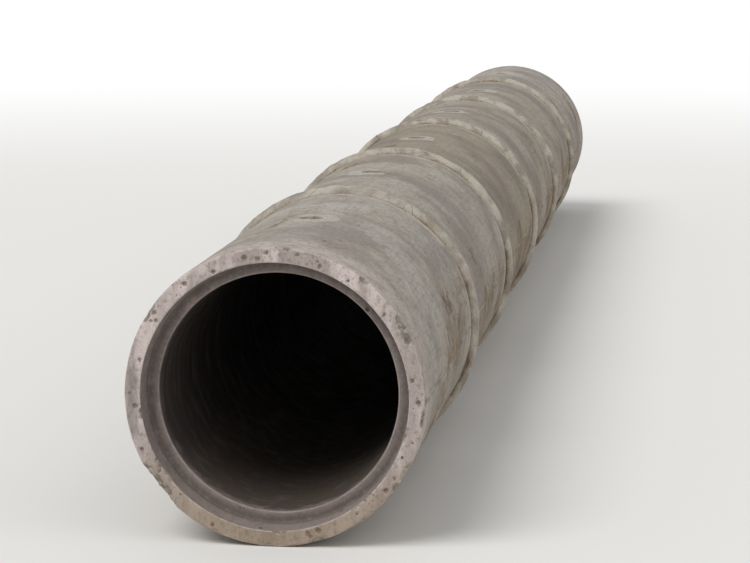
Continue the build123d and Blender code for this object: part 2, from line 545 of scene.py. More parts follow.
def make_section(name, sizes, material, seed):
    """Wall of one section. Its skin moves along its own normal by layered noise, mould flash,
    chips and air holes, and the lift hole's wall runs straight from one edge to the other."""
    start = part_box(name)[0].y
    steps = {SECTIONS[0]: MOUTH_STEPS, SECTIONS[-1]: OUTLET_STEPS}.get(name, MIDDLE_STEPS)
    coordinates, normals, edges, faces, rims = section_skin(sizes, steps)
    station, radius, angle = coordinates.T
    along, out = normals.T
    points = barrel_point(start + station, radius, angle)
    outward = np.stack([out * np.sin(angle), along, out * np.cos(angle)], axis=-1)
    bore = smoothstep(*FACING, -out) * (radius < BORE_RADIUS + 0.5 * sizes.bore_edge_radius)
    skin = smoothstep(*FACING, out) * (radius > OUTER_RADIUS - 0.5 * sizes.edge_radius)

    # Relief along the normal: the skin sinks from the mould's face, and only flash stands out
    swell = SWELL_HEIGHT * layered_noise(points, SWELL_CELL, 2, seed)
    pitting = PITTING_HEIGHT * layered_noise(points, PITTING_CELL, 3, seed + PITTING)
    flash = skin * flash_cover(points, station, angle, sizes, seed + FLASH_BREAKS)
    chips, holes = section_wear(name, sizes)
    chip_depth, spall = dents(points, start, chips, CHIP_WANDER, seed + CHIP_EDGES)
    hole_depth, air_hole = dents(points, start, holes, AIR_HOLE_WANDER, seed + AIR_HOLES)
    rubble = RUBBLE_HEIGHT * np.abs(lattice_noise(points, RUBBLE_CELL, seed + RUBBLE))
    lift = np.minimum(swell + pitting - SWELL_HEIGHT, 0)
    lift += flash * (sizes.flash_height - FLASH_CLEARANCE)
    lift -= chip_depth + hole_depth + spall * rubble
    points = points + outward * lift[:, None]

    # Grout wiped over the skin round the plug, a little off its middle
    middle = (LAYING_LENGTH - sizes.outer_opening) / 2
    random = np.random.default_rng(seed + GROUT_WIPE)
    wipe_x, wipe_y = random.uniform(-WIPE_OFFSET, WIPE_OFFSET, 2)
    from_wipe = np.hypot(points[:, 0] - wipe_x, 0.8 * (station - middle - wipe_y))
    far, near = (sizes.hole_mouth * reach for reach in WIPE_REACH)
    smear = smoothstep(far, near, from_wipe)

    joint = JointShape(sizes)
    groove_root = joint.groove(sizes.groove_depth)
    tongue_root = joint.tongue(-sizes.outer_opening)
    from_root = np.minimum(
        np.hypot(station - sizes.groove_depth, radius - groove_root),
        np.hypot(station - 2 * middle, radius - tongue_root),
    )
    in_groove = (station < sizes.groove_depth + 2 * MM) & (radius < joint.lip_radius)
    masks = {
        "bore_skin": bore,
        "outer_skin": skin,
        "groove": in_groove * (1 - bore),
        "hollow": smoothstep(*HOLLOW_REACH, from_root),
        "arris": edges * (1 - 0.6 * bore),
        "spall": spall,
        "air_hole": air_hole,
        "flash": flash,
        "grout_smear": smear * skin * (np.abs(angle) < 1),
    }

    blend = (np.arange(1, HOLE_WALL_STEPS) / HOLE_WALL_STEPS)[:, None, None]
    wall = points[rims[0]] + blend * (points[rims[1]] - points[rims[0]])
    numbers = len(points) + np.arange(math.prod(wall.shape[:2])).reshape(wall.shape[:2])
    faces.append(strip_faces(np.concatenate([rims[0][None, :], numbers, rims[1][None, :]])))
    bare = np.zeros(numbers.size)
    points = np.concatenate([points, wall.reshape(-1, 3)])
    attributes = {key: np.concatenate([mask, bare]) for key, mask in masks.items()}
    attributes["casting"] = np.full(len(points), np.random.default_rng(seed).uniform(0, 1))
    return build_mesh(f"{name}_cast", points, faces, attributes, material)


def scatter_chips(random, number, station, radius, lengths, widths, depth):
    """Chips scattered round an edge: station, radius and angle of each, its half length round
    the barrel and its half width, both drawn between two sizes, and its depth."""
    return [
        (station, radius, angle, random.uniform(*lengths), random.uniform(*widths), depth)
        for angle in random.uniform(-math.pi, math.pi, number)
    ]


def mouth_chips(sizes):
    """Chips knocked off the arrises of the mouth: small ones, and two where it was struck."""
    random = np.random.default_rng(MOUTH_CHIP_SEED)
    lip_radius = JointShape(sizes).lip_radius
    outer = scatter_chips(random, 9, 0.0, OUTER_RADIUS, (0.012, 0.030), (0.007, 0.013), 0.0035)
    inner = scatter_chips(random, 7, 0.0, lip_radius, (0.010, 0.022), (0.006, 0.010), 0.003)
    struck = [
        (0.0, OUTER_RADIUS, math.radians(62), 0.055, 0.020, 0.007),
        (0.0, OUTER_RADIUS, math.radians(-128), 0.070, 0.024, 0.008),
    ]
    return outer + inner + struck


def lip_holes(sizes):
    """Air holes large enough to see in the lip's face, in the same terms as the chips."""
    random = np.random.default_rng(LIP_HOLE_SEED)
    low = OUTER_RADIUS - sizes.lip_thickness + 2 * sizes.arris_radius
    high = OUTER_RADIUS - 1.5 * sizes.edge_radius
    holes = []
    for angle in random.uniform(-math.pi, math.pi, 30):
        half = random.uniform(0.004, 0.0075)
        holes.append((0.0, random.uniform(low, high), angle, half, half, 0.8 * half))
    return holes


def tongue_chips(sizes):
    """Chips on the tongue and shoulder of the open outlet end."""
    random = np.random.default_rng(TONGUE_CHIP_SEED)
    tip = JointShape(sizes).tongue(sizes.groove_depth - sizes.inner_opening)
    shoulder = LAYING_LENGTH - sizes.outer_opening
    chips = scatter_chips(random, 7, SECTION_LENGTH, tip, (0.015, 0.040), (0.007, 0.012), 0.004)
    for angle in random.uniform(-math.pi, math.pi, 5):
        length = random.uniform(0.012, 0.030)
        chips.append((shoulder, OUTER_RADIUS, angle, length, 0.010, 0.004))
    return chips


def section_wear(name, sizes):
    """Chips and large air holes of a section. Only the barrel's two open ends have any."""
    if name == SECTIONS[0]:
        return mouth_chips(sizes), lip_holes(sizes)
    return (tongue_chips(sizes) if name == SECTIONS[-1] else []), []


# Mortar, beads and plugs

JOINT_MASKS = ("bore_skin", "thin_edge")

# Points round a joint's mortar and across its wiped face, and how deep a hand wipes it
MORTAR_COLUMNS, WIPE_POINTS = 300, 9
WIPE_DEPTH, WIPE_WANDER = 1.1 * MM, 1.6 * MM

# Points across a bead and along it, the share of the CAD model's width that it has on average
# and how far its edges wander from that, the share of the full height that it has on average and
# what strokes, lumps and crumbs add to it, and how deep it roots in the barrel and how far it
# slips along it
BEAD_ROWS, BEAD_COLUMNS = 27, 540
BEAD_SHARE, BEAD_WANDER = 0.85, 0.20
BEAD_FILL, STROKE_SHARE, LUMP_SHARE, CRUMB_SHARE = 0.82, 0.15, 0.09, 0.10
BEAD_ROOT, BEAD_SLIP = 1.5 * MM, 4.0 * MM

# Trowel strokes on a bead: how long they are and how far they lie askew across it, in metres, more
# of them than any bead has room for, and the shares of their slope along it, of their tilt and of
# the step between two
STROKE_LENGTHS, STROKE_SKEW = (0.06, 0.13), 0.02
STROKE_COUNT = 60
STROKE_SLOPE, STROKE_TILT, STROKE_STEP = 0.45, 0.30, 0.25

# What is added to a bead's seed for each thing that is random on it
CRUMBS, FRONT_EDGE, BACK_EDGE, SWERVE, SLIP = 3, 5, 9, 13, 21

# Steps of a plug's outline across its top and foot and down its side, and round it. How far its
# crown and its edge fall, and how lumpy its top and its foot are, in metres
PLUG_RINGS, PLUG_STEPS, PLUG_COLUMNS = 11, 7, 56
CROWN_FALL, EDGE_FALL = 2.2 * MM, 1.6 * MM
TOP_LUMPS, FOOT_LUMPS = 2.4 * MM, 1.5 * MM


def make_joint_mortar(name, sizes, material, seed):
    """Mortar between two sections: a stepped outline carried round the axis. Its bore face is
    wiped by hand, into a hollow of depth sin(pi t)^0.5 across it that layered noise varies."""
    joint = JointShape(sizes)
    depth, opening = sizes.groove_depth, sizes.outer_opening
    tip = depth - sizes.inner_opening
    edge, outer_edge = sizes.bore_edge_radius, sizes.edge_radius
    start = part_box(name)[0].y + opening + outer_edge
    corners = np.array([
        (tip - edge, BORE_RADIUS),
        (tip, BORE_RADIUS + edge),
        (tip, joint.tongue(tip)),
        (-opening, joint.tongue(-opening)),
        (-opening, OUTER_RADIUS - outer_edge),
        (-opening - outer_edge, OUTER_RADIUS),
        (outer_edge, OUTER_RADIUS),
        (0, OUTER_RADIUS - outer_edge),
        (0, joint.groove(0)),
        (depth, joint.groove(depth)),
        (depth, BORE_RADIUS + edge),
        (depth + edge, BORE_RADIUS),
    ])
    stations = np.linspace(depth + edge, tip - edge, WIPE_POINTS)[1:-1]
    face = np.stack([stations, np.full(len(stations), BORE_RADIUS)], axis=-1)
    outline = np.concatenate([corners, face])
    wiped = np.zeros(len(outline))
    wiped[len(corners) :] = np.sin(np.linspace(0, math.pi, WIPE_POINTS)[1:-1]) ** 0.5
    angles = np.linspace(-math.pi, math.pi, MORTAR_COLUMNS, endpoint=False)
    points = barrel_point(start + outline[:, :1], outline[:, 1:], angles[None, :])
    dip = WIPE_DEPTH + WIPE_WANDER * layered_noise(points, 0.05, 3, seed)
    radial = np.stack([np.sin(angles), np.zeros(len(angles)), np.cos(angles)], axis=-1)
    points = points + (wiped[:, None] * dip)[..., None] * radial[None, :, :]
    quads = grid_faces(len(outline), len(angles), True, True).reshape(-1, 4)
    bore = np.repeat(outline[:, 1] < BORE_RADIUS + 0.5 * edge, len(angles)).astype(float)
    attributes = dict(zip(JOINT_MASKS, (bore, np.zeros(len(bore)))))
    return build_mesh(f"{name}_packed", points.reshape(-1, 3), [quads], attributes, material)


def trowel_strokes(run, across, seed):
    """Facets of overlapping trowel strokes: each is a plane with its own slope along the run
    and across it, from -1 to 1 in all, that starts where the last one ends."""
    random = np.random.default_rng(seed)
    ends = np.cumsum(random.uniform(*STROKE_LENGTHS, STROKE_COUNT))
    stroke = np.searchsorted(ends, run)
    place = np.clip((ends[stroke] - run) / STROKE_LENGTHS[1], 0, 1)
    rise, tilt, level = random.uniform(-1, 1, (3, len(ends) + 1))
    slope = STROKE_SLOPE * rise[stroke] * (2 * place - 1) + STROKE_TILT * tilt[stroke] * across
    return slope + STROKE_STEP * level[stroke]


def make_joint_bead(name, sizes, material, seed):
    """Bead over one joint: a low arch, height (1 - t^2)^0.7 across its width, carried round the
    barrel from foot to foot. Trowel strokes, lumps and crumbs vary its height, its edges
    wander, and its feet are flat."""
    low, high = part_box(name)
    middle = (low.y + high.y) / 2
    reach = math.pi - math.asin(sizes.foot_gap / 2 / OUTER_RADIUS)
    angles = np.linspace(-reach, reach, BEAD_COLUMNS)
    across = np.sin(np.linspace(-0.5, 0.5, BEAD_ROWS) * math.pi)[:, None]
    walk = barrel_point(middle + BEAD_WIDTH / 2 * across, OUTER_RADIUS, angles[None, :])
    front = 1 + BEAD_WANDER * layered_noise(walk[:1], 0.06, 4, seed + FRONT_EDGE)
    back = 1 + BEAD_WANDER * layered_noise(walk[-1:], 0.06, 4, seed + BACK_EDGE)
    swerve = STROKE_SKEW * layered_noise(walk, 0.05, 2, seed + SWERVE)
    run = (angles[None, :] + reach) * OUTER_RADIUS + STROKE_SKEW * across + swerve
    strokes = trowel_strokes(run, across, seed)
    lumps = layered_noise(walk, 0.11, 2, seed)
    crumbs = layered_noise(walk, 0.018, 3, seed + CRUMBS)
    fill = BEAD_FILL + STROKE_SHARE * strokes + LUMP_SHARE * lumps + CRUMB_SHARE * crumbs
    height = (BEAD_HEIGHT - BEAD_CLEARANCE) * np.clip(fill, 0.4, 1.0)
    arch = np.clip(1 - across**2, 0, 1) ** 0.7
    slip = BEAD_SLIP * layered_noise(walk[:1], 0.20, 2, seed + SLIP)

    def bead_row(place, radius):
        """Row of points across the bead, its front and back halves each as wide as noise says."""
        half = BEAD_SHARE * BEAD_WIDTH / 2 * np.where(place < 0, front, back)
        return barrel_point(middle + slip + place * half, radius, angles[None, :])

    top = bead_row(across, OUTER_RADIUS + arch * height)
    under = bead_row(across[-2:0:-2], OUTER_RADIUS - BEAD_ROOT)
    points = np.concatenate([top, under])
    points[..., 2] = np.maximum(points[..., 2], 0.0)
    rows, columns = points.shape[:2]
    numbers = np.arange(rows * columns).reshape(rows, columns)
    faces = [grid_faces(rows, columns, True, False).reshape(-1, 4)]
    faces += [fan_faces(numbers[:, 0], numbers.size), fan_faces(numbers[:, -1], numbers.size + 1)]
    hubs = points[:, (0, -1)].mean(axis=0)
    points = np.concatenate([points.reshape(-1, 3), hubs])
    feathered = np.broadcast_to(1 - arch, top.shape[:2]).ravel()
    thin = np.concatenate([feathered, np.ones(under.size // 3), [0.0, 0.0]])
    attributes = dict(zip(JOINT_MASKS, (np.zeros(len(points)), thin)))
    return build_mesh(f"{name}_trowelled", points, faces, attributes, material, crease_degrees=60)


def make_plug(name, sizes, material, seed):
    """Grout plug: an outline turned about an upright axis, with a crowned top that falls as t^2
    from its middle, a tapered side and a flat foot, made lumpy by layered noise."""
    low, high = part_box(name)
    middle = ((low.x + high.x) / 2, (low.y + high.y) / 2)
    top_radius = (high.x - low.x) / 2
    slope = (sizes.hole_mouth - sizes.hole_bore) / 2 / (OUTER_RADIUS - BORE_RADIUS)
    foot_radius = top_radius - slope * (high.z - low.z)
    rings = np.linspace(0, 1, PLUG_RINGS + 1)[1:]
    sides = np.linspace(0, 1, PLUG_STEPS + 1)[1:-1]
    side_radii = top_radius + sides * (foot_radius - top_radius)
    radii = np.concatenate([rings * top_radius, side_radii, rings[::-1] * foot_radius])
    crown = high.z - CROWN_FALL * rings**2 - EDGE_FALL * smoothstep(0.85, 1.0, rings)
    side = crown[-1] + sides * (low.z - crown[-1])
    heights = np.concatenate([crown, side, np.full(len(rings), low.z)])
    angles = np.linspace(0, 2 * math.pi, PLUG_COLUMNS, endpoint=False)
    rows, columns = len(radii), len(angles)
    x = middle[0] + radii[:, None] * np.cos(angles)
    y = middle[1] + radii[:, None] * np.sin(angles)
    turned = np.stack(np.broadcast_arrays(x, y, heights[:, None]), axis=-1).reshape(-1, 3)
    points = np.concatenate([turned, [(*middle, high.z), (*middle, low.z)]])
    lumps = layered_noise(points, 0.020, 3, seed)
    on_top = np.concatenate([np.repeat(np.arange(rows) < len(rings), columns), [True, False]])
    on_foot = FOOT_LUMPS + FOOT_LUMPS * lumps
    rise = np.where(on_top, TOP_LUMPS * lumps - TOP_LUMPS / 2, on_foot)
    points[:, 2] = np.minimum(points[:, 2] + rise, high.z)
    faces = [grid_faces(rows, columns, False, True).reshape(-1, 4)]
    numbers = np.arange(rows * columns).reshape(rows, columns)
    faces += [fan_faces(numbers[0], numbers.size), fan_faces(numbers[-1], numbers.size + 1)]
    edge = np.repeat(smoothstep(0.7, 1.0, radii / top_radius), columns)
    thin = np.concatenate([edge, [0.0, 0.0]])
    attributes = dict(zip(JOINT_MASKS, ((~on_top).astype(float), thin)))
    return build_mesh(f"{name}_packed", points, faces, attributes, material)


# Materials

# Cement isn't a metal, and its IOR is about 1.5. Its open pores leave it matt and take two fifths
# of the gloss that the shader would give it, at a specular level of 0.5.
CEMENT_IOR = 1.5
CEMENT_ROUGHNESS = 0.95
CEMENT_SPECULAR = 0.3

# How far the cells of holes, stones and cracks stray from even rows
CELL_RANDOMNESS = 0.92

# Grains of a material: the size in millimetres of the largest patches, detail, roughness, and
# factors on x, y and z for one that runs long where its factor is small. Real sand is under
# 2 mm, too fine to show in the render, so it is drawn coarser.
CONCRETE_GRAINS = {
    "patches": (230, 5, 0.60),
    "batches": (150, 3, 0.55, 0.05, 1.0, 0.05),
    "cloud": (46, 4, 0.55),
    "crumbs": (15, 5, 0.70),
    "sand": (3.2, 2, 0.70),
    "hole_clusters": (120, 3, 0.55),
    "drag": (7, 3, 0.60, 1.0, 0.04, 1.0),
    "bore_rings": (14, 2, 0.55, 0.03, 1.0, 0.03),
    "bank_edge": (140, 5, 0.55),
    "rain": (60, 5, 0.55, 1.0, 1.0, 0.22),
    "growth": (85, 6, 0.65, 1.0, 1.0, 0.35),
    "drips": (15, 5, 0.65, 1.0, 0.5, 0.14),
    "soil_mix": (70, 5, 0.55),
    "smear_edge": (55, 5, 0.60),
    "lime_runs": (30, 5, 0.60, 0.10, 1.0, 0.10),
    "seep": (40, 5, 0.55, 1.0, 1.0, 0.20),
    "silt_edge": (160, 3, 0.55),
}
MORTAR_GRAINS = {
    "blotch": (70, 6, 0.62),
    "crumbs": (12, 5, 0.70),
    "drag": (6, 4, 0.55, 0.22, 1.0, 0.22),
    "sand": (2.8, 2, 0.75),
    "bloom": (55, 5, 0.55),
    "crack_edge": (18, 4, 0.55),
    "crack_patches": (130, 3, 0.55),
}
GROUT_GRAINS = {
    "lumps": (14, 5, 0.68),
    "sand": (2.8, 2, 0.75),
}


def add_node(tree, kind, inputs=(), **settings):
    """Adds one node. Settings are its own options, and inputs are values or sockets for its
    inputs, in their order or by name or number. A user's colour gets an alpha of 1. Gives its
    outputs."""
    node = tree.nodes.new("ShaderNode" + kind)
    for key, value in settings.items():
        setattr(node, key, value)
    for key, value in inputs.items() if isinstance(inputs, dict) else enumerate(inputs):
        if isinstance(value, bpy.types.NodeSocket):
            tree.links.new(value, node.inputs[key])
        else:
            node.inputs[key].default_value = (*value, 1.0) if isinstance(value, Color) else value
    return node.outputs


class Finish:
    """A material in the making. Each mask that the mesh carries and each grain from its table
    is kept under its own name."""

    def __init__(self, name, masks=(), grains=None):
        self.material = bpy.data.materials.new(name)
        self.material.use_nodes = True
        self.tree = self.material.node_tree
        self.tree.nodes.clear()
        self.place = add_node(self.tree, "TexCoord")["Object"]
        self.x, self.y, self.z = add_node(self.tree, "SeparateXYZ", [self.place])
        for mask in masks:
            setattr(self, mask, add_node(self.tree, "Attribute", attribute_name=mask)["Fac"])
        for grain, (size_mm, detail, roughness, *factors) in (grains or {}).items():
            place = self.place
            if factors:
                place = add_node(self.tree, "Mapping", {"Vector": place, "Scale": factors})[0]
            inputs = {"Vector": place, "Scale": 1 / (size_mm * MM)}
            inputs |= {"Detail": detail, "Roughness": roughness}
            setattr(self, grain, add_node(self.tree, "TexNoise", inputs)[0])

    def total(self, start, *terms):
        """A start plus terms, each a pattern times its weight."""
        for pattern, weight in terms:
            inputs = (pattern, weight, start)
            start = add_node(self.tree, "Math", inputs, operation="MULTIPLY_ADD")[0]
        return start

    def cover(self, *factors):
        """How far something covers: the product of masks, shares and bands. A band is a
        pattern, the two levels between which it goes by smoothstep from 0 to 1, and maybe two
        other ends for 0 and 1."""
        whole = None
        for factor in factors:
            if isinstance(factor, tuple):
                factor = add_node(
                    self.tree, "MapRange", factor, interpolation_type="SMOOTHSTEP"
                )[0]
            if whole is not None:
                inputs = (whole, factor)
                factor = add_node(self.tree, "Math", inputs, operation="MULTIPLY")[0]
            whole = factor
        return whole

    def lay(self, colour, *coats):
        """Lays coats over a colour, one on the other: each is a colour and what its cover is
        the product of."""
        for coat, *factors in coats:
            inputs = {0: self.cover(*factors), 6: colour, 7: coat}
            colour = add_node(self.tree, "Mix", inputs, data_type="RGBA")[2]
        return colour

    def bowls(self, size_mm, share, widest):
        """Air holes or grains: in that share of cells of about this size, a bowl of random
        radius, up to widest of a cell. Gives them as a mask and as a depth, 0 at the rim and 1
        in the middle of the widest."""
        inputs = {"Vector": self.place, "Scale": 1 / (size_mm * MM), "Randomness": CELL_RANDOMNESS}
        distance, colour = add_node(self.tree, "TexVoronoi", inputs)[:2]
        pick = add_node(self.tree, "SeparateColor", [colour])[0]
        inside = self.total(self.cover((pick, 1 - share, 1.0, 0.0, widest)), (distance, -1.0))
        return self.cover((inside, 0.0, 0.05)), self.cover((inside, 0.0, widest))

    def close(self, colour, roughness, *relief):
        """Closes the finish with its relief: layers of a pattern and its height in mm."""
        height = self.total(0.0, *((pattern, high * MM) for pattern, high in relief))
        bump = add_node(self.tree, "Bump", {"Height": height, "Strength": 1.0, "Distance": 1.0})
        inputs = {"Base Color": colour, "Roughness": roughness, "Normal": bump[0]}
        inputs |= {"IOR": CEMENT_IOR, "Specular IOR Level": CEMENT_SPECULAR}
        add_node(self.tree, "OutputMaterial", [add_node(self.tree, "BsdfPrincipled", inputs)[0]])
        return self.material


def nearest_joint(finish, from_mouth):
    """Distance along the barrel to the nearest mortared joint: the joints lie a whole number of
    laying lengths from the mouth."""
    number = from_mouth
    rounding = {"DIVIDE": LAYING_LENGTH, "ROUND": 0.0, "MAXIMUM": 1.0, "MINIMUM": len(MORTARS)}
    for operation, value in rounding.items():
        number = add_node(finish.tree, "Math", (number, value), operation=operation)[0]
    apart = finish.total(from_mouth, (number, -LAYING_LENGTH))
    return add_node(finish.tree, "Math", [apart], operation="ABSOLUTE")[0]


def soil_cling(finish):
    """Where soil clings: broken patches, more of them low on the flanks than at the crown."""
    place = add_node(finish.tree, "Mapping", {"Vector": finish.place, "Scale": (1.0, 0.55, 1.0)})[0]
    inputs = {"Vector": place, "Scale": 1 / (200 * MM), "Detail": 8, "Roughness": 0.60}
    patches = add_node(finish.tree, "TexNoise", inputs | {"Distortion": 0.3})[0]
    flank = finish.cover((finish.z, AXIS_Z * 2, 0.0, -0.10, 0.10))
    return finish.total(-0.15, (patches, 1.0), (flank, 1.0), (finish.crumbs, 0.30))


def bare_concrete(finish, colours, exposed):
    """Concrete without its dirt: bands where each batch was packed and patches rich or lean in
    cement. Each section has its own tone, and the mouth is bleached, its face most, with grime
    where rain runs down it."""
    richness = finish.total(-0.20, (finish.patches, 1.0), (finish.batches, 0.40))
    cast = finish.lay(
        colours.concrete_dark,
        (colours.concrete_light, (richness, 0.36, 0.64)),
        (colours.concrete_dark, (finish.cloud, 0.40, 0.70, 0.0, 0.40)),
    )
    tone = finish.cover((finish.casting, 0.0, 1.0, 0.84, 1.12))
    tint = finish.cover((finish.casting, 0.2, 0.8, 1.35, 0.80))
    inputs = {"Color": cast, "Value": tone, "Saturation": tint}
    bleached = finish.lay(
        colours.weathered_dark,
        (colours.weathered_light_and_highlight, (finish.rain, 0.38, 0.62)),
        (colours.grime, (finish.growth, 0.52, 0.68, 0.0, 0.6)),
        (colours.concrete_light, finish.outer_skin, 0.6),
    )
    return finish.lay(add_node(finish.tree, "HueSaturation", inputs)[0], (bleached, exposed))


def bore_cover(finish, colours):
    """The bore's black film of silt and algae, which also paints the bore's shade, browner below
    the water line.
    """
    silt_line = finish.total(finish.z, (finish.silt_edge, 0.05))
    dry, wet = AXIS_Z - 0.42 * BORE_RADIUS, AXIS_Z - 0.62 * BORE_RADIUS
    return finish.lay(
        colours.bore_film_and_shade,
        (colours.bore_silt_and_shade, (silt_line, dry, wet)),
        (colours.groove_dirt_and_shade, (finish.seep, 0.50, 0.72, 0.0, 0.25)),
    )


def dry_cast_concrete(colours):
    """Dry-cast pipe concrete, stripped from its mould at once: lean, sandy and matt, with small
    air holes and drag lines along it. The buried skin holds clay, the mouth is bleached, and a
    black film, which also paints the bore's shade, lines the bore. Painted shade darkens the air
    holes, the groove, its hollow corners and the foot of the flash, and painted highlight
    lightens the arrises and the flash's fin."""
    finish = Finish("dry_cast_concrete", SECTION_MASKS, CONCRETE_GRAINS)
    from_mouth = finish.total(-MOUTH_Y, (finish.y, 1.0))
    exposed = finish.cover((finish.total(from_mouth, (finish.bank_edge, -0.30)), 0.08, -0.08))
    buried = finish.cover(finish.outer_skin, finish.total(1.0, (exposed, -1.0)))
    outside = finish.total(1.0, (finish.bore_skin, -0.85))

    # Painted shade, with some dirt, along the foot of the two lines of flash, 3 mm below the height
    # of the axis
    above_foot = finish.total(3 * MM - AXIS_Z, (finish.z, 1.0))
    from_foot = add_node(finish.tree, "Math", [above_foot], operation="ABSOLUTE")[0]

    cling = soil_cling(finish)
    crust = finish.cover((cling, 0.545, 0.60), buried)
    soil = finish.lay(colours.topsoil_and_shade, (colours.clay, (finish.soil_mix, 0.38, 0.60)))

    # Mortar is smeared beside the joints and grout round the lift holes
    from_joint = nearest_joint(finish, from_mouth)
    smear_line = finish.total(from_joint, (finish.smear_edge, -0.13))
    beside_joint = finish.cover((smear_line, 0.002, -0.012))
    ragged = finish.cover((finish.cloud, 0.25, 0.75, -0.45, 0.45))
    round_hole = finish.cover((finish.total(finish.grout_smear, (ragged, 1.0)), 0.50, 0.62))
    smeared = add_node(finish.tree, "Math", (beside_joint, round_hole), operation="MAXIMUM")[0]
    smear = finish.cover(smeared, finish.outer_skin, (finish.crumbs, 0.30, 0.50), 0.85)
    lime_line = finish.total(from_joint, (finish.lime_runs, -0.12))
    below_crown = (finish.z, AXIS_Z * 1.95, AXIS_Z * 1.6)
    splash_line = finish.total(finish.z, (finish.crumbs, 0.16))

    # Gravel, air holes and pores, and the pale and dark grains of the sand
    inputs = {"Vector": finish.place, "Scale": 1 / (12 * MM), "Randomness": CELL_RANDOMNESS}
    stones, stone_colour = add_node(finish.tree, "TexVoronoi", inputs)[:2]
    stone_tone = add_node(finish.tree, "SeparateColor", [stone_colour])[0]
    gravel = finish.lay(colours.aggregate, (colours.concrete_light, (stone_tone, 0.1, 0.9)))
    small_holes, small_depth = finish.bowls(11, 0.45, 0.28)
    large_holes, large_depth = finish.bowls(33, 0.40, 0.20)
    clustered = finish.cover((finish.hole_clusters, 0.42, 0.62))
    small_holes = finish.cover(small_holes, clustered)
    holes = add_node(finish.tree, "Math", (small_holes, large_holes), operation="MAXIMUM")[0]
    fine_pores = finish.cover((finish.sand, 0.35, 0.65, 0.0, 0.28))
    open_pores = finish.cover((finish.crumbs, 0.48, 0.62, 0.0, 0.50))
    pores = add_node(finish.tree, "Math", (fine_pores, open_pores), operation="MAXIMUM")[0]
    pale_grains, dark_grains = finish.bowls(7.5, 0.40, 0.32)[0], finish.bowls(6.5, 0.35, 0.36)[0]

    # The lip's large air holes, darkened as painted shade, have edges as ragged as the sand round
    # them
    ragged_hole = finish.total(-0.15, (finish.air_hole, 1.0), (finish.sand, 0.30))

    colour = finish.lay(
        bare_concrete(finish, colours, exposed),
        # Drag lines that the mould's jacket leaves along the barrel as it is pulled off
        (colours.grime, (finish.drag, 0.50, 0.68, 0.0, 0.22), buried),
        # Mould flash: painted shade with dirt along its foot, and a pale fin, also a painted
        # highlight, broken off in places
        (
            colours.topsoil_and_shade,
            (from_foot, 0.013, 0.004),
            finish.outer_skin,
            (finish.cloud, 0.35, 0.60, 0.25, 0.75),
        ),
        (colours.mortar_light_and_highlight, (finish.flash, 0.30, 0.75), (finish.crumbs, 0.30, 0.55, 0.25, 0.80)),
        # Soil on the buried outside: a thin dust, and crusts of it with broken edges
        (colours.clay, (cling, 0.36, 0.62, 0.0, 0.45), buried),
        (soil, crust, 0.85),
        # Mortar and grout, and the lime that water carried out of the joints
        (colours.mortar_light_and_highlight, smear),
        (
            colours.lime,
            (lime_line, 0.03, -0.02),
            (finish.lime_runs, 0.48, 0.66, 0.0, 0.6),
            finish.outer_skin,
            below_crown,
        ),
        # Drips down the face, mud splashed on its lower third, and painted shade, with dirt, in the
        # groove and its corners
        (colours.groove_dirt_and_shade, (from_mouth, 0.012, 0.003), (finish.drips, 0.52, 0.72, 0.0, 0.5)),
        (colours.clay, (splash_line, 0.36, 0.14, 0.0, 0.75), exposed, outside),
        (colours.groove_dirt_and_shade, finish.groove, (finish.cloud, 0.30, 0.62, 0.70, 0.96)),
        # Painted shade, with some dirt, in the hollow corners of groove and tongue
        (colours.bore_silt_and_shade, finish.hollow, outside, (finish.crumbs, 0.30, 0.60, 0.40, 0.75)),
        # Arrises lit by wear and painted highlight, gravel bared in spalls, then pores, sand and
        # air holes
        (colours.weathered_light_and_highlight, finish.arris, (finish.cloud, 0.40, 0.60, 0.1, 0.5), outside),
        (gravel, finish.spall),
        (colours.grime, pores, outside),
        (colours.lime, pale_grains, outside, 0.16),
        (colours.grime, dark_grains, outside, 0.32),
        # Painted shade, with some dirt, in the small and large air holes and in the lip's
        (colours.bore_silt_and_shade, holes, outside, 0.70),
        (colours.topsoil_and_shade, (ragged_hole, 0.52, 0.66), outside, 0.55),
        # The film in the bore, which also paints its shade, thinner at the mouth and darker deeper
        # in
        (
            bore_cover(finish, colours),
            finish.bore_skin,
            (finish.total(from_mouth, (finish.seep, -0.09)), 0.025, 0.075, 0.75, 1.0),
        ),
    )
    damp = finish.cover(finish.bore_skin, (finish.seep, 0.35, 0.60, 0.05, 0.25))
    return finish.close(
        colour,
        finish.total(CEMENT_ROUGHNESS, (damp, -1.0)),
        (finish.sand, 0.8),
        (finish.crumbs, 1.4),
        (finish.cloud, 1.5),
        (finish.cover(finish.drag, finish.outer_skin), 0.5),
        (finish.cover(small_depth, clustered), -2.0),
        (large_depth, -5.0),
        (finish.cover(crust, finish.crumbs), 2.5),
        (finish.cover(smear, finish.crumbs), 1.6),
        (finish.cover(finish.bore_skin, finish.bore_rings), 0.6),
        (finish.cover(finish.spall, stones), -3.0),
    )


